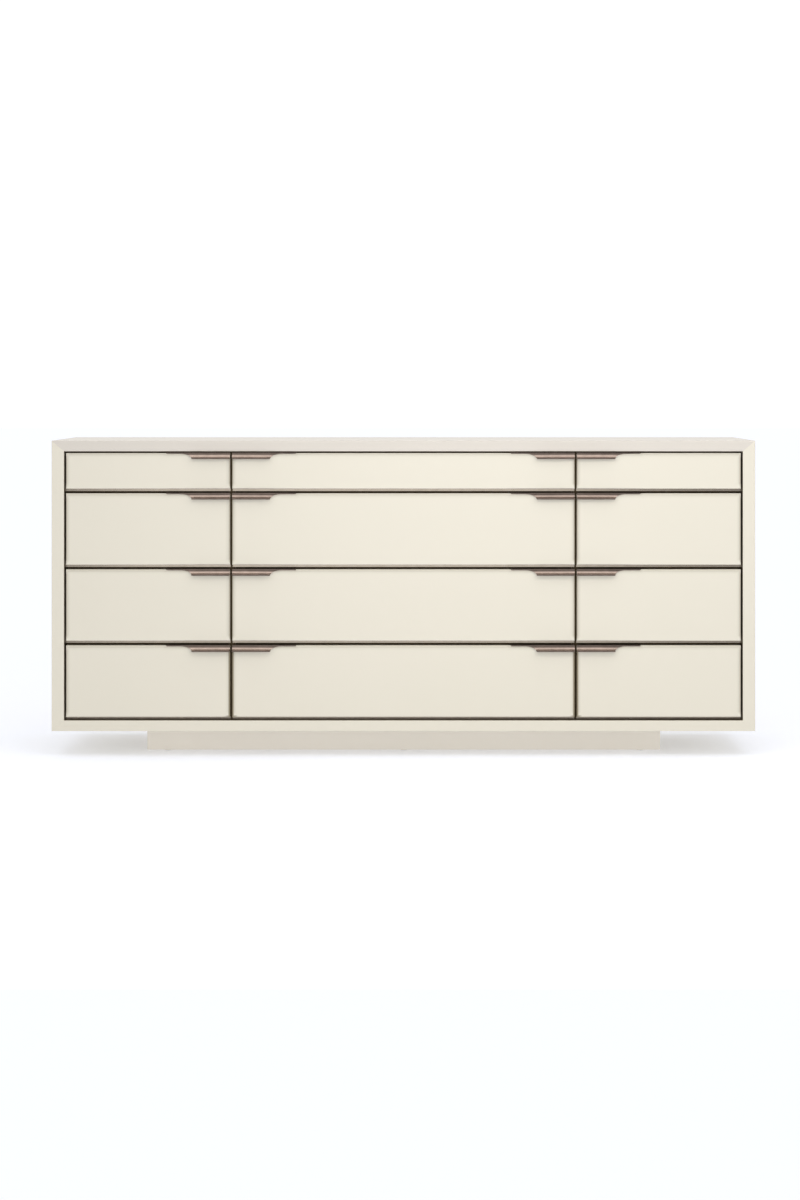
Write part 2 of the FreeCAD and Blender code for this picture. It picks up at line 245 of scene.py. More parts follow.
# %% [markdown]
# Two long strip lights hang in front of the dresser, right of its middle: one level with the top of the
# second row of drawers, one higher. They are close enough that their light falls off down the drawers and
# towards the left, which gives the flat front its depth. A sun with a very wide disc adds the soft
# shadows under the pulls. The strips are kept out of reflections, because a real one would show as a hard
# line in every polished edge. A wide panel in front is the one area light that gloss does see: the bronze
# rails mirror it, so they are bright in the middle and fade to both ends.

# %% Strip lights, front panel and overhead light
STRIP_TARGET = (0.5, 0.0, 0.75)
STRIP = {"shape": "RECTANGLE", "size": 2.2, "size_y": 0.3}
PANEL = {"shape": "RECTANGLE", "size": 2.07, "size_y": 1.05}
SUN_DISC = math.radians(70)


def place_light(name, kind, place, target, power, in_gloss=True, **settings):
    """A lamp that looks at a target and that the camera doesn't see."""
    data = bpy.data.lights.new(name, kind)
    data.energy = power
    for key, value in settings.items():
        setattr(data, key, value)
    lamp = bpy.data.objects.new(name, data)
    lamp.location = place
    sight = Vector(target) - Vector(place)
    lamp.rotation_euler = sight.to_track_quat("-Z", "Y").to_euler()
    lamp.visible_camera = False
    lamp.visible_glossy = in_gloss
    scene.collection.objects.link(lamp)


place_light("low_strip", "AREA", place=(0.5, -1.5, 0.75), target=STRIP_TARGET, power=1.1,
            in_gloss=False, **STRIP)
place_light("high_strip", "AREA", place=(0.5, -1.4, 1.4), target=STRIP_TARGET, power=6.7,
            in_gloss=False, **STRIP)
place_light("front_panel", "AREA", place=(-0.185, -3.0, 0.56), target=(-0.185, 0.0, 0.56), power=3.42,
            **PANEL)
place_light("overhead", "SUN", place=(0.0, 0.0, 5.0), target=(0.0, 0.8, 0.0), power=0.35, angle=SUN_DISC)
print("strips are", STRIP["size"], "m long, the front panel", PANEL["size"], "m")

# %% [markdown]
# ## What every finish shares
# Every finish on this piece has the same frame: a colour that wanders between two tones, a gloss that
# isn't quite even, and a relief too fine to model. All three follow patterns that are laid on the
# object's own space, so they need no unwrapping. Wood and brushed metal are the same patterns, drawn out
# along one axis. Small helpers build that frame, so that each recipe only says what is special about its
# material.

# %% Helpers for finishes
AXES = "XYZ"


def start_material(name, **constants):
    """A principled material, its nodes, its shader and the object's own space. Even values are set on
    the shader's own sockets."""
    made = bpy.data.materials.new(name)
    made.use_nodes = True
    tree = made.node_tree
    shader = tree.nodes["Principled BSDF"]
    for socket, value in constants.items():
        shader.inputs[socket.replace("_", " ")].default_value = value
    place = add(tree, "ShaderNodeTexCoord").outputs["Object"]
    return made, tree, shader, place


def noise(tree, place, scale, detail, distortion=0.0):
    """A cloudy pattern from 0 to 1. A larger scale makes smaller clouds."""
    inputs = {"Vector": place, "Scale": scale, "Detail": detail, "Distortion": distortion}
    return add(tree, "ShaderNodeTexNoise", inputs).outputs["Fac"]


def stretched(tree, place, grain, along, across):
    """The object's space scaled for a pattern with a grain: one scale along it and one across."""
    scale = tuple(along if axis == grain else across for axis in AXES)
    return add(tree, "ShaderNodeMapping", {"Vector": place, "Scale": scale}).outputs["Vector"]


def set_gloss(tree, shader, pattern, first, last, start=0.0, end=1.0):
    """Roughness that runs from first to last while a pattern runs from start to end."""
    tree.links.new(spread(tree, pattern, start, end, first, last), shader.inputs["Roughness"])


def set_relief(tree, shader, pattern, strength, depth):
    """A fine relief that follows a pattern."""
    bump = add(tree, "ShaderNodeBump", {"Height": pattern, "Strength": strength, "Distance": depth})
    tree.links.new(bump.outputs["Normal"], shader.inputs["Normal"])


print("helpers for finishes ready")

# %% [markdown]
# ## Ivory lacquer
# The case, plinth and drawer fronts are sprayed with satin lacquer. Sprayed lacquer is never quite even:
# its tone drifts a little over a board, its gloss varies where it was rubbed down, and seen close to it
# has the fine dimples that painters call orange peel. Three noises of different scale give these three
# things. The top and the plinth each get their own copy of the lacquer: the top's is deeper in tone, a
# painted shade, and the plinth's is paler, a painted light against the shade it stands in under the case.
# The fronts also carry a painted shade: a brown that darkens them beside the gaps between the drawers.
# The recipe reads how much of it there is from a number kept on the mesh's points, which is 0 where there
# is none.

# %% Lacquer
# The brown of the painted shade that darkens the fronts beside their gaps.
PAINTED_SHADE_BROWN = rgb(0.2, 0.158, 0.09)


def lacquer(name, light, deep):
    """Satin lacquer that drifts between two tones, with a brown painted shade where the mesh's points ask
    for it.
    """
    made, tree, shader, place = start_material(name, Specular_IOR_Level=0.45, Coat_Weight=0.12,
                                               Coat_Roughness=0.22)
    colour = mixed(tree, noise(tree, place, scale=2.3, detail=2.0), light, deep)
    # A number on the mesh's points mixes in the brown of the painted shade beside the fronts' gaps.
    shade_amount = add(tree, "ShaderNodeAttribute", attribute_name="painted_shade").outputs["Fac"]
    tree.links.new(mixed(tree, shade_amount, colour, PAINTED_SHADE_BROWN), shader.inputs["Base Color"])
    rubbed = noise(tree, place, scale=38.0, detail=4.0)
    set_gloss(tree, shader, rubbed, first=0.36, last=0.46, start=0.3, end=0.7)
    peel = noise(tree, place, scale=620.0, detail=1.5)
    set_relief(tree, shader, peel, strength=0.25, depth=0.08 * MM)
    return made


ivory = lacquer("ivory_lacquer", rgb(0.707, 0.660, 0.553), rgb(0.688, 0.645, 0.535))
# The top's copy is darker, a painted shade, and the plinth's is paler, a painted light against the shade
# it stands in under the case.
top_ivory_painted_shade = lacquer("ivory_lacquer_top_painted_shade", rgb(0.634, 0.585, 0.519), rgb(0.615, 0.571, 0.50))
plinth_ivory_painted_light = lacquer("ivory_lacquer_plinth_painted_light", rgb(0.90, 0.85, 0.765), rgb(0.88, 0.83, 0.745))
print("each lacquer has", len(ivory.node_tree.nodes), "nodes")

# %% [markdown]
# ## Bronze
# The pulls are cast, brushed along their length and darkened. A brushed metal shows short streaks in its
# gloss, so the noise is stretched along the pull. The darkening is uneven, which a second, wider noise
# gives.

# %% Bronze
BRUSH_SWING = 0.06


def bronze(name, light, dark, along, across, rough):
    """Bronze brushed along X, with a patina between two tones."""
    made, tree, shader, place = start_material(name, Metallic=1.0)
    patina = spread(tree, noise(tree, place, scale=55.0, detail=5.0), start=0.35, end=0.65)
    tree.links.new(mixed(tree, patina, light, dark), shader.inputs["Base Color"])
    brushed = noise(tree, stretched(tree, place, "X", along, across), scale=1.0, detail=3.0)
    set_gloss(tree, shader, brushed, first=rough - BRUSH_SWING, last=rough + BRUSH_SWING, start=0.3,
              end=0.7)
    set_relief(tree, shader, brushed, strength=0.3, depth=0.05 * MM)
    return made


pull_bronze = bronze("brushed_bronze", rgb(0.30, 0.233, 0.197), rgb(0.252, 0.196, 0.165),
                     along=30.0, across=1600.0, rough=0.30)
rail_bronze = bronze("champagne_bronze", rgb(0.67, 0.59, 0.495), rgb(0.61, 0.535, 0.445),
                     along=60.0, across=1200.0, rough=0.22)
# The darkest bronze lines the gaps and stands for the shade deep inside them: a painted shade.
gap_shade_bronze = bronze("gap_shade_bronze", rgb(0.135, 0.102, 0.062), rgb(0.105, 0.078, 0.046),
                     along=60.0, across=1200.0, rough=0.42)
print("three bronzes mixed")

# %% [markdown]
# ## Wood
# The drawer boxes are solid maple. Its grain is long and quiet: wide bands of slightly different tone,
# with fine darker pores in them. The back, the partitions and the drawers' bottoms are birch plywood,
# which is quieter and a little duller. Bands and pores are both noises stretched along the grain, so one
# recipe serves any direction: we only choose the axis.

# %% Wood
BANDS = {"along": 1.6, "across": 30.0}
PORES = {"along": 12.0, "across": 900.0}
DULLER_IN_PORES = 0.1
SMOOTHER_BETWEEN = 0.05


def wood(name, light, dark, grain, rough):
    """Planed wood with its grain along one axis."""
    made, tree, shader, place = start_material(name, Specular_IOR_Level=0.4)
    bands = noise(tree, stretched(tree, place, grain, **BANDS), scale=1.0, detail=4.0, distortion=0.6)
    pores = noise(tree, stretched(tree, place, grain, **PORES), scale=1.0, detail=2.0)
    both = add(tree, "ShaderNodeMath", {0: bands, 1: pores}, operation="MULTIPLY")
    figure = spread(tree, both.outputs["Value"], start=0.14, end=0.36)
    tree.links.new(mixed(tree, figure, dark, light), shader.inputs["Base Color"])
    set_gloss(tree, shader, pores, first=rough + DULLER_IN_PORES, last=rough - SMOOTHER_BETWEEN)
    set_relief(tree, shader, pores, strength=0.3, depth=0.1 * MM)
    return made


MAPLE = {"light": rgb(0.72, 0.56, 0.38), "dark": rgb(0.55, 0.39, 0.235), "rough": 0.42}
BIRCH = {"light": rgb(0.70, 0.55, 0.38), "dark": rgb(0.58, 0.43, 0.28), "rough": 0.5}
maple_x = wood("maple_along_width", grain="X", **MAPLE)
maple_y = wood("maple_along_depth", grain="Y", **MAPLE)
birch_x = wood("birch_along_width", grain="X", **BIRCH)
birch_z = wood("birch_upright", grain="Z", **BIRCH)
print("maple and birch ready")

# %% [markdown]
# Where a board is cut across, the grain shows its ends: a darker face with fine growth rings and open
# pores. It drinks the finish, so it is duller too.

# %% End grain
def end_grain(name, light, dark):
    """Wood cut across, with rings and pores."""
    made, tree, shader, place = start_material(name, Specular_IOR_Level=0.3)
    rings = add(tree, "ShaderNodeTexWave", {
        "Vector": place,
        "Scale": 140.0,
        "Distortion": 5.0,
        "Detail": 2.0,
        "Detail Scale": 0.6,
    }, wave_type="BANDS", bands_direction="DIAGONAL").outputs["Fac"]
    pores = add(tree, "ShaderNodeTexVoronoi", {"Vector": place, "Scale": 1300.0}).outputs["Distance"]
    both = add(tree, "ShaderNodeMath", {0: rings, 1: pores}, operation="MULTIPLY")
    figure = both.outputs["Value"]
    tree.links.new(mixed(tree, figure, dark, light), shader.inputs["Base Color"])
    set_gloss(tree, shader, pores, first=0.72, last=0.58)
    set_relief(tree, shader, figure, strength=0.4, depth=0.1 * MM)
    return made


maple_end = end_grain("maple_end_grain", rgb(0.60, 0.43, 0.265), rgb(0.42, 0.28, 0.16))
print("end grain ready")

# %% [markdown]
# ## Steel and nylon
# Drawer runners are zinc-plated steel: a cool metal with a faint crystal mottle. The glides under the
# plinth and the bumpers behind the fronts are moulded nylon, pale, with a matt, slightly pebbled skin.
# Both are a skin of small cells, at a different scale, so one recipe makes the two.

# %% Steel and nylon
SKIN_FINER = 4
SKIN_SWING = 0.08


def mottled(name, light, dark, scale, rough, metallic, depth):
    """A skin of small cells in two tones, with a finer relief on it."""
    made, tree, shader, place = start_material(name, Metallic=metallic)
    cells = add(tree, "ShaderNodeTexVoronoi", {"Vector": place, "Scale": scale}).outputs["Distance"]
    tree.links.new(mixed(tree, cells, light, dark), shader.inputs["Base Color"])
    skin = noise(tree, place, scale=scale * SKIN_FINER, detail=2.0)
    set_gloss(tree, shader, skin, first=rough - SKIN_SWING, last=rough + SKIN_SWING)
    set_relief(tree, shader, skin, strength=0.2, depth=depth)
    return made


zinc = mottled("zinc_plated_steel", rgb(0.62, 0.64, 0.67), rgb(0.52, 0.54, 0.58),
               scale=240.0, rough=0.34, metallic=1.0, depth=0.03 * MM)
nylon = mottled("pale_nylon", rgb(0.80, 0.79, 0.76), rgb(0.73, 0.72, 0.69),
                scale=500.0, rough=0.55, metallic=0.0, depth=0.1 * MM)
print("steel and nylon ready")

# %% [markdown]
# ## Give every CAD part its finish
# A CAD part whose shape is right stays as it is and only takes a material. The parts' names say what they
# are, so the finish follows from the name. The parts left over are the drawer boxes and the face frame:
# they are made anew below, and so are the boards of the case, the plinth and the fronts.

# %% Finishes by name
FINISHES = {
    "case_top": top_ivory_painted_shade,
    "case_bottom": ivory,
    "case_side_left": ivory,
    "case_side_right": ivory,
    "plinth_frame": plinth_ivory_painted_light,
    "back_panel": birch_x,
    "partition_left": birch_z,
    "partition_right": birch_z,
    "levelling_glides": nylon,
    "case_runners": zinc,
    "runner_screws": zinc,
}
for drawer in drawers:
    FINISHES[f"{drawer}_front"] = ivory
    FINISHES[f"{drawer}_pull"] = pull_bronze
    FINISHES[f"{drawer}_runners"] = zinc
for name, finish in FINISHES.items():
    mesh = nodes[name].data
    mesh.materials.clear()
    mesh.materials.append(finish)
print(len(FINISHES), "parts finished,", len(set(nodes) - set(FINISHES)), "left over")

# %% [markdown]
# ## Solid pieces from outlines
# Boards, bars and bent strips are all one outline pushed along a straight line. A cube scaled into place
# would do for a box, but not for an angle, a channel or a dovetail, so one helper joins loops of points
# into a closed solid. It also eases edges: no real edge is a perfect corner, and the small facet that
# sandpaper or a brake press leaves is what catches the light. Two faces that turn by less than FLAT, in
# radians, have no edge to ease. The next two limits say how much of a direction must lie along an axis,
# from 0 to 1, before an edge runs along it or a face lies across the grain.

# %% Closed solids with eased edges
FLAT = 0.05
ALONG_AXIS = 0.99
ACROSS_GRAIN = 0.7
EASE_STEPS = 2
ROUND_PROFILE = 0.5


def join_loops(mesh, loops, step=1):
    """Joins each loop of points to the next, closes both ends and turns all faces outward. Each face is
    drawn from a point and its neighbour a step away, 1 or -1, which sets the diagonal it folds along."""
    faces = [mesh.faces.new(loops[0]), mesh.faces.new(loops[-1][::-1])]
    for near, far in zip(loops, loops[1:]):
        for i, vert in enumerate(near):
            j = (i + step) % len(near)
            faces.append(mesh.faces.new((near[j], vert, far[i], far[j])))
    bmesh.ops.recalc_face_normals(mesh, faces=faces)
    return faces


def runs_along(edge, lane):
    """True for an edge that runs along an axis, given as the axis's number."""
    start, end = edge.verts
    return abs((start.co - end.co).normalized()[lane]) > ALONG_AXIS


def add_solid(mesh, near, far, finish=0, grain=None, end_finish=0, ease=0.0, along=None):
    """A solid between two loops of points. Faces across the grain take the end finish. All its edges are
    eased, or only those that run along one axis."""
    faces = join_loops(mesh, [[mesh.verts.new(point) for point in points] for points in (near, far)])
    for face in faces:
        across = grain and abs(face.normal[AXES.index(grain)]) > ACROSS_GRAIN
        face.material_index = end_finish if across else finish
    edges = list(dict.fromkeys(edge for face in faces for edge in face.edges))
    edges = [edge for edge in edges if edge.calc_face_angle(0.0) > FLAT]
    if along:
        edges = [edge for edge in edges if runs_along(edge, AXES.index(along))]
    if ease:
        bmesh.ops.bevel(mesh, geom=edges, offset=ease, offset_type="OFFSET", segments=EASE_STEPS,
                        profile=ROUND_PROFILE, affect="EDGES", clamp_overlap=True, material=-1)


def add_prism(mesh, outline, axis, start, end, **options):
    """Pushes an outline, given in the other two coordinates, along an axis."""
    lane = AXES.index(axis)
    near, far = ([pair[:lane] + (place,) + pair[lane:] for pair in outline] for place in (start, end))
    add_solid(mesh, near, far, **options)


def add_board(mesh, low, high, **options):
    """A rectangular board between two corners."""
    outline = [(low[1], low[2]), (high[1], low[2]), (high[1], high[2]), (low[1], high[2])]
    add_prism(mesh, outline, "X", low[0], high[0], **options)


print("solids can be joined, pushed and eased")

# %% [markdown]
# Every piece ends the same way: its mesh becomes an object, takes its finishes, and rides on the body
# that carries it, so that a drawer's dovetails leave the case with the drawer.

# %% Turn a mesh into a piece
SHARP_ABOVE = math.radians(35)


def finish_piece(mesh, name, body, finishes, stands_for=None, smooth=False):
    """Turns a mesh into a piece on a body. A smooth one is shaded round, except over its sharp edges."""
    data = bpy.data.meshes.new(name)
    mesh.to_mesh(data)
    mesh.free()
    for finish in finishes:
        data.materials.append(finish)
    if smooth:
        data.polygons.foreach_set("use_smooth", [True] * len(data.polygons))
        data.set_sharp_from_angle(angle=SHARP_ABOVE)
    piece = bpy.data.objects.new(name, data)
    scene.collection.objects.link(piece)
    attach(piece, body)
    if stands_for:
        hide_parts(stands_for)


print("pieces can be finished")

# %% [markdown]
# ## Case boards
# The case is four boards mitred at the corners. Each is one outline, seen from its end, with the rebate
# for the back panel in it. Its ends follow the mitre: the deeper a point lies in the board, the shorter
# the board is there. The long front edges are rounded over, and a hair's breadth is taken off round each
# mitre, because two boards that meet never close to nothing. A mitre is found by its direction, which
# leans both sideways and up or down.

# %% Sizes of the case
outer_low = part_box("case_bottom")[0]
outer_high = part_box("case_top")[1]
opening_low = Vector((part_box("case_side_left")[1].x, outer_low.y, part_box("case_bottom")[1].z))
opening_high = Vector((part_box("case_side_right")[0].x, outer_high.y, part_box("case_top")[0].z))
back_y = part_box("back_panel")[0].y
front_y = outer_low.y
REBATE = 12 * MM
ROUND_OVER = 2 * MM
MITRE_EASE = 0.2 * MM
opening = opening_high - opening_low
print("opening", round(opening.x, 3), "by", round(opening.z, 3), "m")

# %% Ends that follow the mitre
def mitred_ends(side, facing, running):
    """The two ends of a board that faces one axis, given by number, and runs along another."""
    outer = (outer_high if side > 0 else outer_low)[facing]
    inner = (opening_high if side > 0 else opening_low)[facing]
    thick = abs(outer - inner)
    section = [
        (front_y, 0.0),
        (outer_high.y, 0.0),
        (outer_high.y, thick - REBATE),
        (back_y, thick - REBATE),
        (back_y, thick),
        (front_y, thick),
    ]
    ends = []
    for end, hollow in ((outer_low, opening_low), (outer_high, opening_high)):
        loop = []
        for y, depth in section:
            point = [0.0, y, 0.0]
            point[facing] = outer - side * depth
            point[running] = end[running] + (hollow[running] - end[running]) * depth / thick
            loop.append(tuple(point))
        ends.append(loop)
    return ends


print("each board's section has a rebate of", round(REBATE / MM), "mm")

# %% Mitred boards
ROUND_OVER_STEPS = 4
LEANS = 0.5


def case_board(name, lane, side):
    """One board of the case. Lane is the axis it faces, X or Z, and side is -1 or 1 along it."""
    facing, running = AXES.index(lane), AXES.index("Z" if lane == "X" else "X")
    mesh = bmesh.new()
    add_solid(mesh, *mitred_ends(side, facing, running))
    front_edges = [
        edge for edge in mesh.edges
        if all(abs(vert.co.y - front_y) < MITRE_EASE for vert in edge.verts) and runs_along(edge, running)
    ]
    bmesh.ops.bevel(mesh, geom=front_edges, offset=ROUND_OVER, segments=ROUND_OVER_STEPS,
                    profile=ROUND_PROFILE, affect="EDGES")
    mesh.normal_update()
    mitres = [face for face in mesh.faces if min(abs(face.normal.x), abs(face.normal.z)) > LEANS]
    rims = list(dict.fromkeys(edge for face in mitres for edge in face.edges))
    bmesh.ops.bevel(mesh, geom=rims, offset=MITRE_EASE, segments=1, affect="EDGES")
    finish_piece(mesh, f"{name}_lacquered", "case", [FINISHES[name]], stands_for=name)


case_board("case_top", "Z", 1)
case_board("case_bottom", "Z", -1)
case_board("case_side_left", "X", -1)
case_board("case_side_right", "X", 1)
print("four boards mitred")

# %% [markdown]
# ## Drawer fronts
# A front is a flat board with a soft round along its four front edges, and a shallow seat in its top edge
# for each pull. A bevel would clash with the seat, which is shallower than the round, so we build the
# board from loops: one outline, drawn again and again, a little smaller each time. The first loops turn
# the round. The later ones lie flat on the face and carry a painted shade, which fades from one loop to
# the next, so each front darkens towards the gaps beside it. The lower edge has none, nor has the round
# along the top; the upright edges carry the most, and of those the ones that face each other between the
# drawers of the lowest row.

# %% Sizes of the fronts
FRONT_ROUND = 3 * MM
ROUND_STEPS = 4
PULL_METAL = 2.5 * MM
CORNER = 16 * MM
# How much painted shade lies on the round, on the lowest row's facing edges, and on the face at each
# distance past the round.
PAINTED_SHADE_ON_ROUND = 0.58
PAINTED_SHADE_LOWEST_ROW = 0.9
PAINTED_SHADE_BESIDE_ROUND = {0 * MM: 0.35, 3 * MM: 0.17, 6 * MM: 0.07, 10 * MM: 0.0}
pull_low, pull_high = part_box("left_drawer_1_pull")
pull_length = pull_high.x - pull_low.x
print("each pull's seat is", round(pull_length / MM), "mm long")


# %% Loops of one outline
def inward(start, end):
    """The way into the board from a level or upright side of its outline."""
    run, rise = end[0] - start[0], end[1] - start[1]
    if abs(run) > abs(rise):
        return (0, 1 if run > 0 else -1)
    return (-1 if rise > 0 else 1, 0)


def inset(outline, depth):
    """The same outline with every side moved inward."""
    moved = []
    for i, here in enumerate(outline):
        ways = {inward(outline[i - 1], here), inward(here, outline[(i + 1) % len(outline)])}
        moved.append(tuple(here[k] + depth * sum(way[k] for way in ways) for k in (0, 1)))
    return moved


def front_outline(low, high, seat_z, left_pull, right_pull):
    """The foot, the right side, the top edge and the left side of a front, as points in that order."""
    foot = [(low.x, low.z), (low.x + CORNER, low.z), (high.x - CORNER, low.z), (high.x, low.z)]
    right_side = [(high.x, low.z + CORNER), (high.x, high.z - CORNER)]
    left_side = [(low.x, high.z - CORNER), (low.x, low.z + CORNER)]
    if right_pull:
        top = [(high.x, seat_z), (high.x - pull_length, seat_z), (high.x - pull_length, high.z)]
    else:
        top = [(high.x, high.z)]
    if left_pull:
        top += [(low.x + pull_length, high.z), (low.x + pull_length, seat_z), (low.x, seat_z)]
    else:
        top.append((low.x, high.z))
    return foot, right_side, top, left_side


print("outlines can be drawn smaller")

# %% Loops of a front
def front_steps(low, high):
    """How far each loop lies inside the outline, its place in depth, and the painted shade on it."""
    steps = [(0.0, high.y, PAINTED_SHADE_ON_ROUND)]
    for i in range(ROUND_STEPS):
        turn = QUARTER_TURN * i / ROUND_STEPS
        depth = FRONT_ROUND * (1 - math.cos(turn))
        steps.append((depth, low.y + FRONT_ROUND * (1 - math.sin(turn)), PAINTED_SHADE_ON_ROUND))
    steps += [(FRONT_ROUND + depth, low.y, shade_amount) for depth, shade_amount in PAINTED_SHADE_BESIDE_ROUND.items()]
    return steps


print(1 + ROUND_STEPS + len(PAINTED_SHADE_BESIDE_ROUND), "loops in each front")

# %% Build the fronts
def drawer_front(drawer):
    """One front, with its painted shade written on its points."""
    low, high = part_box(f"{drawer}_front")
    seat_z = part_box(f"{drawer}_pull")[1].z - PULL_METAL
    foot, right_side, top, left_side = front_outline(low, high, seat_z, "left" not in drawer,
                                                     "right" not in drawer)
    outline = foot + right_side + top + left_side
    uprights = set(right_side + left_side)
    # The lowest row's facing edges and their bottom corners take the deepest painted shade on their
    # round.
    deepest_shade_corners = set()
    if drawer.endswith(f"_{ROWS}"):
        deepest_shade_corners.update([] if "right" in drawer else foot[-1:] + right_side)
        deepest_shade_corners.update([] if "left" in drawer else left_side + foot[:1])
    mesh = bmesh.new()
    painted_shade = mesh.verts.layers.float.new("painted_shade")
    loops = []
    for depth, y, shade_amount in front_steps(low, high):
        loop = [mesh.verts.new((x, y, z)) for x, z in inset(outline, depth)]
        for vert, corner in zip(loop, outline):
            if corner in deepest_shade_corners and depth <= FRONT_ROUND:
                vert[painted_shade] = PAINTED_SHADE_LOWEST_ROW
            elif corner in uprights or (corner in top and depth >= FRONT_ROUND):
                vert[painted_shade] = shade_amount
        loops.append(loop)
    join_loops(mesh, loops, step=-1)
    finish_piece(mesh, f"{drawer}_lacquered_front", drawer, [ivory],
                 stands_for=f"{drawer}_front", smooth=True)


# Each front is built with its painted shade beside the gaps.
for drawer in drawers:
    drawer_front(drawer)
print(len(drawers), "fronts shade_painted")

# %% [markdown]
# ## Plinth
# The plinth is six boards on edge: front and rear boards as long as the plinth, and four cross boards
# between them, two at the ends and two where the partitions bring the weight down.

# %% Plinth boards
PLINTH_BOARD = 20 * MM
PLINTH_EASE = 1.0 * MM
CROSS_EASE = 0.5 * MM
plinth_low, plinth_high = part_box("plinth_frame")
left_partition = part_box("partition_left")
right_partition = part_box("partition_right")
partition_middles = [(low.x + high.x) / 2 for low, high in (left_partition, right_partition)]
half_board = PLINTH_BOARD / 2
mesh = bmesh.new()
for y in (plinth_low.y, plinth_high.y - PLINTH_BOARD):
    add_board(mesh, (plinth_low.x, y, plinth_low.z), (plinth_high.x, y + PLINTH_BOARD, plinth_high.z),
              ease=PLINTH_EASE)
for x in (plinth_low.x + half_board, *partition_middles, plinth_high.x - half_board):
    add_board(mesh, (x - half_board, plinth_low.y + PLINTH_BOARD, plinth_low.z),
              (x + half_board, plinth_high.y - PLINTH_BOARD, plinth_high.z), ease=CROSS_EASE)
# The plinth's paler lacquer is painted light against the shade under the case.
finish_piece(mesh, "plinth_lacquered", "case", [plinth_ivory_painted_light], stands_for="plinth_frame")
print("plinth", round(plinth_high.x - plinth_low.x, 3), "m long")

# %% [markdown]
# ## Bronze face frame
# Strips of bronze-coated sheet line the gaps. Between the rows run channels with a bright champagne face:
# only its lower lip shows, right under the drawer above. The rest of each channel, the linings of the
# opening and the caps on the partitions are a much darker bronze, which is painted shade: it makes the
# gaps read as a bright thread over a dark line of shade. All are bent from 2 mm sheet, so each is one
# outline with its thickness in it, and the bright finish is then given to the faces in front. Each rail's
# face runs on over the partition as far as the gap between the columns, and the cap there is narrowed to
# a neck, so the gap's dark line of painted shade passes unbroken.

# %% Places in the face frame
SHEET = 2 * MM
SHEET_EASE = 0.35 * MM
RAIL_FLANGE = 16 * MM
RAIL_SHOW = 7.8 * MM
LOWEST_SHOW = 7.2 * MM
RAIL_LAP = 13 * MM
RAIL_LEG_LAP = 2 * MM
TOP_LINER_DROP = 8 * MM
liner_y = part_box("face_frame")[0].y
rear_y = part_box("face_frame")[1].y
face_y = rear_y - RAIL_FLANGE
sheet_y = face_y + SHEET
opening_top = opening_high.z
opening_base = opening_low.z
lowest_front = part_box(f"centre_drawer_{ROWS}_front")[0].z
lowest_rail_top = lowest_front + RAIL_LAP
BAYS = {
    "left": (opening_low.x + SHEET, left_partition[0].x),
    "centre": (left_partition[1].x, right_partition[0].x),
    "right": (right_partition[1].x, opening_high.x - SHEET),
}
partition_width = left_partition[1].x - left_partition[0].x
half_gap = (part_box("centre_drawer_1_front")[0].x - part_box("left_drawer_1_front")[1].x) / 2
print("frame stands", round((face_y - front_y) / MM, 1), "mm behind the case's front edge")

# %% Rails between the rows
mesh = bmesh.new()
for column, (left, right) in BAYS.items():
    for row in range(1, ROWS):
        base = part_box(f"{column}_drawer_{row}_front")[0].z
        low, high = base - RAIL_SHOW, base + RAIL_LAP
        leg_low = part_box(f"{column}_drawer_{row + 1}_front")[1].z - RAIL_LEG_LAP
        outline = [
            (face_y, low),
            (face_y, high),
            (rear_y, high),
            (rear_y, leg_low),
            (rear_y - SHEET, leg_low),
            (rear_y - SHEET, high - SHEET),
            (sheet_y, high - SHEET),
            (sheet_y, low),
        ]
        add_prism(mesh, outline, "X", left, right, ease=SHEET_EASE, along="X")
        for middle in partition_middles:
            for end in (left, right):
                if abs(end - middle) < partition_width:
                    tip = middle + math.copysign(half_gap, end - middle)
                    add_board(mesh, (min(end, tip), face_y, low), (max(end, tip), sheet_y, high),
                              ease=SHEET_EASE, along="X")
# The dark bronze is painted shade in the gaps; the champagne is the face in front.
FRAME_FINISHES = [gap_shade_bronze, rail_bronze]
BRIGHT = FRAME_FINISHES.index(rail_bronze)
for face in mesh.faces:
    if face.calc_center_median().y < sheet_y:
        face.material_index = BRIGHT
finish_piece(mesh, "bronze_rails", "case", FRAME_FINISHES, stands_for="face_frame")
print(len(COLUMNS) * (ROWS - 1), "rails bent")

# %% Outlines of the linings
TOP_LINER = [
    (liner_y, opening_top),
    (sheet_y, opening_top),
    (sheet_y, opening_top - TOP_LINER_DROP),
    (face_y, opening_top - TOP_LINER_DROP),
    (face_y, opening_top - SHEET),
    (liner_y, opening_top - SHEET),
]
BOTTOM_LINER = [
    (liner_y, opening_base),
    (sheet_y, opening_base),
    (sheet_y, lowest_rail_top),
    (face_y, lowest_rail_top),
    (face_y, lowest_front - LOWEST_SHOW),
    (face_y, opening_base + SHEET),
    (liner_y, opening_base + SHEET),
]
SIDE_LINER = [
    (liner_y, opening_base + SHEET),
    (face_y, opening_base + SHEET),
    (face_y, lowest_rail_top),
    (sheet_y, lowest_rail_top),
    (sheet_y, opening_base),
    (rear_y, opening_base),
    (rear_y, opening_top),
    (sheet_y, opening_top),
    (sheet_y, opening_top - TOP_LINER_DROP),
    (face_y, opening_top - TOP_LINER_DROP),
    (face_y, opening_top - SHEET),
    (liner_y, opening_top - SHEET),
]
print("three outlines for the linings")

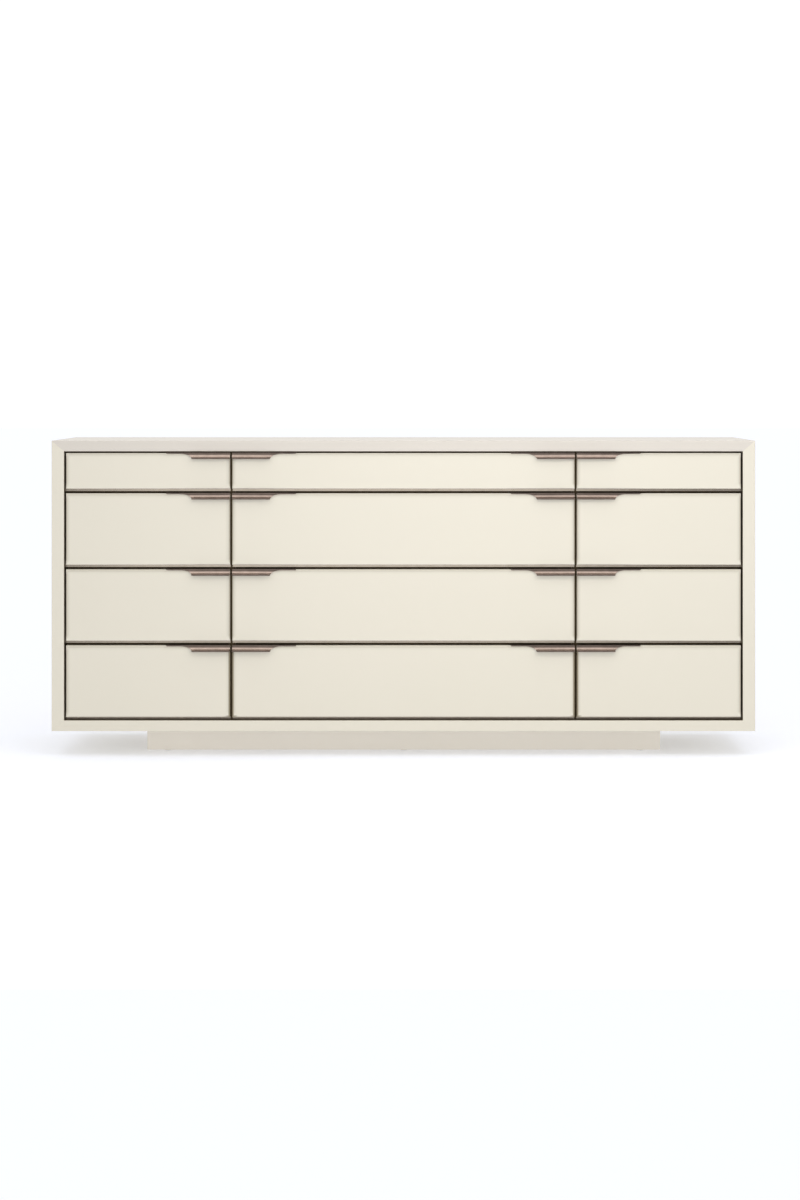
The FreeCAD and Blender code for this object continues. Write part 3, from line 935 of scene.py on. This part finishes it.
# %% Line the opening
mesh = bmesh.new()
for outline in (TOP_LINER, BOTTOM_LINER):
    add_prism(mesh, outline, "X", opening_low.x, opening_high.x, ease=SHEET_EASE, along="X")
for middle in partition_middles:
    for x in (middle - half_gap, middle + half_gap):
        everything = mesh.verts[:] + mesh.edges[:] + mesh.faces[:]
        bmesh.ops.bisect_plane(mesh, geom=everything, plane_co=(x, 0, 0), plane_no=(1, 0, 0))
add_prism(mesh, SIDE_LINER, "X", opening_low.x, opening_low.x + SHEET)
add_prism(mesh, SIDE_LINER, "X", opening_high.x - SHEET, opening_high.x)
print("opening lined on four sides")

# %% Cap the partitions and give the linings their finish
FACES_FRONT = 0.9
cap_half = partition_width / 2
cap_side = [(cap_half, lowest_rail_top)]
for row in range(ROWS - 1, 0, -1):
    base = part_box(f"centre_drawer_{row}_front")[0].z
    low, high = base - RAIL_SHOW, base + RAIL_LAP
    cap_side += [(cap_half, low), (half_gap, low), (half_gap, high), (cap_half, high)]
cap_side.append((cap_half, opening_top - TOP_LINER_DROP))
for middle in partition_middles:
    outline = [(middle + x, z) for x, z in cap_side] + [(middle - x, z) for x, z in reversed(cap_side)]
    add_prism(mesh, outline, "Y", face_y, sheet_y)
mesh.normal_update()
for face in mesh.faces:
    place = face.calc_center_median()
    in_front = abs(place.y - face_y) < SHEET_EASE and abs(face.normal.y) > FACES_FRONT
    beside_gap = all(abs(place.x - middle) > half_gap for middle in partition_middles)
    if in_front and beside_gap and lowest_front - LOWEST_SHOW < place.z < lowest_rail_top:
        face.material_index = BRIGHT
finish_piece(mesh, "bronze_linings", "case", FRAME_FINISHES, stands_for="face_frame")
print(len(partition_middles), "partitions capped")

# %% [markdown]
# ## Dovetailed drawer boxes
# A good drawer box is dovetailed. The sides carry the tails, which are wide at the board's end, and the
# front and back carry the pins between them, so that pulling the front can't open the joint. Seen from
# the side, the pins show as small wedges of end grain. The side is one outline with a socket for each
# pin, and each pin is the wedge that fills it.

# %% Sizes of a drawer box
BOX_BOARD = 12 * MM
BOX_EASE = 1.2 * MM
PANEL = 6 * MM
PANEL_RISE = 8 * MM
PIN_HALF = 4 * MM
PIN_FLARE = 2 * MM
PINS_SHALLOW = 2
PINS_DEEP = 4
BOX_FINISHES = [maple_y, maple_x, maple_end, birch_x]
SIDE_WOOD, CROSS_WOOD, END_WOOD, PANEL_WOOD = range(len(BOX_FINISHES))


def wedge(y, inward, z):
    """The outline of one pin, from its narrow end at y to its wide end a board's thickness inward."""
    wide = PIN_HALF + PIN_FLARE
    deep = y + inward * BOX_BOARD
    return [(y, z - PIN_HALF), (deep, z - wide), (deep, z + wide), (y, z + PIN_HALF)]


def pin_heights(low, high, count):
    """The middles of evenly spaced pins."""
    pitch = (high - low) / count
    return [low + (i + 0.5) * pitch for i in range(count)]


print("pins are", round(2 * PIN_HALF / MM), "mm wide at their narrow end")

# %% Build the boxes
def drawer_box(drawer, count):
    """One box with a number of pins in each corner, and a panel for its bottom."""
    low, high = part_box(f"{drawer}_box")
    panel_base = low.z + PANEL_RISE
    heights = pin_heights(panel_base + PANEL, high.z, count)
    side = [(low.y, low.z), (high.y, low.z)]
    for z in heights:
        side += wedge(high.y, -1, z)
    side += [(high.y, high.z), (low.y, high.z)]
    for z in reversed(heights):
        side += reversed(wedge(low.y, 1, z))
    inner = (low.x + BOX_BOARD, high.x - BOX_BOARD)
    mesh = bmesh.new()
    for outer_x, inner_x in ((low.x, inner[0]), (high.x, inner[1])):
        add_prism(mesh, side, "X", outer_x, inner_x, finish=SIDE_WOOD, grain="Y", end_finish=END_WOOD,
                  ease=BOX_EASE, along="Y")
        for y, inward in ((low.y, 1), (high.y, -1)):
            for z in heights:
                add_prism(mesh, wedge(y, inward, z), "X", outer_x, inner_x, finish=CROSS_WOOD, grain="X",
                          end_finish=END_WOOD)
    add_board(mesh, (inner[0], low.y, low.z), (inner[1], low.y + BOX_BOARD, high.z), finish=CROSS_WOOD,
              ease=BOX_EASE, along="X")
    add_board(mesh, (inner[0], high.y - BOX_BOARD, panel_base + PANEL), (inner[1], high.y, high.z),
              finish=CROSS_WOOD, ease=BOX_EASE, along="X")
    add_board(mesh, (inner[0], low.y + BOX_BOARD, panel_base), (inner[1], high.y, panel_base + PANEL),
              finish=PANEL_WOOD)
    finish_piece(mesh, f"{drawer}_dovetailed_box", drawer, BOX_FINISHES,
                 stands_for=f"{drawer}_box")


for drawer in drawers:
    drawer_box(drawer, PINS_SHALLOW if drawer.endswith("_1") else PINS_DEEP)
print(len(drawers), "boxes dovetailed")

# %% [markdown]
# ## Screws and bumpers
# Small fixings tell an honest piece from a mock-up. A pan-head screw is a turned shape: a domed head with
# a cross recess sunk in it. One helper spins a profile about a level axis, and may pull a ring into four
# lobes, which gives the recess. The same helper turns the soft bumpers that quiet each drawer as it
# shuts.

# %% Turned pieces
TURN_SIDES = 24
LOBES = 4
UP = Vector((0, 0, 1))


def add_turned(mesh, centre, facing, rings):
    """Spins rings of radius, height and lobe depth about a level axis that points the way they face."""
    out = Vector(facing)
    over = out.cross(UP)
    loops = []
    for radius, height, lobe in rings:
        loop = []
        for i in range(TURN_SIDES):
            turn = 2 * math.pi * i / TURN_SIDES
            reach = radius * (1 + lobe * math.cos(LOBES * turn))
            offset = UP * math.cos(turn) + over * math.sin(turn)
            loop.append(mesh.verts.new(Vector(centre) + out * height + offset * reach))
        loops.append(loop)
    join_loops(mesh, loops)


def screw_head(radius, height):
    """A domed head with a cross recess."""
    return [
        (radius, 0.0, 0.0),
        (radius, 0.35 * height, 0.0),
        (0.88 * radius, 0.8 * height, 0.0),
        (0.62 * radius, height, 0.0),
        (0.34 * radius, height, 0.55),
        (0.24 * radius, 0.25 * height, 0.5),
    ]


print("turned pieces have", TURN_SIDES, "sides")

# %% Screws in the drawer channels
CHANNEL_SCREWS = 3
CHANNEL_INSET = 60 * MM
CHANNEL_METAL = 1.5 * MM
CHANNEL_HEAD = screw_head(radius=3.4 * MM, height=1.3 * MM)
for drawer in drawers:
    low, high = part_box(f"{drawer}_runners")
    box_low, box_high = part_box(f"{drawer}_box")
    middle_z = (low.z + high.z) / 2
    pitch = (high.y - low.y - 2 * CHANNEL_INSET) / (CHANNEL_SCREWS - 1)
    mesh = bmesh.new()
    for x, way in ((box_low.x - CHANNEL_METAL, -1), (box_high.x + CHANNEL_METAL, 1)):
        for i in range(CHANNEL_SCREWS):
            place = (x, low.y + CHANNEL_INSET + i * pitch, middle_z)
            add_turned(mesh, place, (way, 0, 0), CHANNEL_HEAD)
    finish_piece(mesh, f"{drawer}_channel_screws", drawer, [zinc], smooth=True)
print(2 * CHANNEL_SCREWS, "screws in each drawer's channels")

# %% Bumpers behind the fronts
BUMPER_RINGS = [
    (4.0 * MM, 0.0, 0.0),
    (4.0 * MM, 0.3 * MM, 0.0),
    (3.2 * MM, 0.7 * MM, 0.0),
    (1.6 * MM, 0.9 * MM, 0.0),
]
BUMPER_INSET = 12 * MM
BUMPER_RISE = 6 * MM
for drawer in drawers:
    low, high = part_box(f"{drawer}_front")
    mesh = bmesh.new()
    for x in (low.x + BUMPER_INSET, high.x - BUMPER_INSET):
        add_turned(mesh, (x, high.y, low.z + BUMPER_RISE), (0, 1, 0), BUMPER_RINGS)
    finish_piece(mesh, f"{drawer}_bumpers", drawer, [nylon], smooth=True)
print("two bumpers behind each front")

# %% Screws round the back panel
BACK_SCREW_PITCH = 200 * MM
BACK_SCREW_INSET = 6 * MM
BACK_HEAD = screw_head(radius=3.5 * MM, height=1.2 * MM)
panel_low, panel_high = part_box("back_panel")


def spaced(start, end, pitch):
    """Evenly spaced places from start to end, about a pitch apart."""
    count = max(1, round((end - start) / pitch))
    return [start + (end - start) * i / count for i in range(count + 1)]


mesh = bmesh.new()
left, right = panel_low.x + BACK_SCREW_INSET, panel_high.x - BACK_SCREW_INSET
base, top = panel_low.z + BACK_SCREW_INSET, panel_high.z - BACK_SCREW_INSET
places = [(x, z) for x in spaced(left, right, BACK_SCREW_PITCH) for z in (base, top)]
inner_heights = spaced(base, top, BACK_SCREW_PITCH)[1:-1]
places += [(x, z) for x in (left, *partition_middles, right) for z in inner_heights]
for x, z in places:
    add_turned(mesh, (x, panel_high.y, z), (0, 1, 0), BACK_HEAD)
finish_piece(mesh, "back_panel_screws", "case", [zinc], smooth=True)
print(len(places), "screws hold the back panel")

# %% [markdown]
# ## Measure and finish
# The last step prints the size of the dressed dresser. The dressed dresser must stay inside the CAD
# model's box.

# %% Sizes
low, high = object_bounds()
print("dressed size", [round(value, 4) for value in high - low])
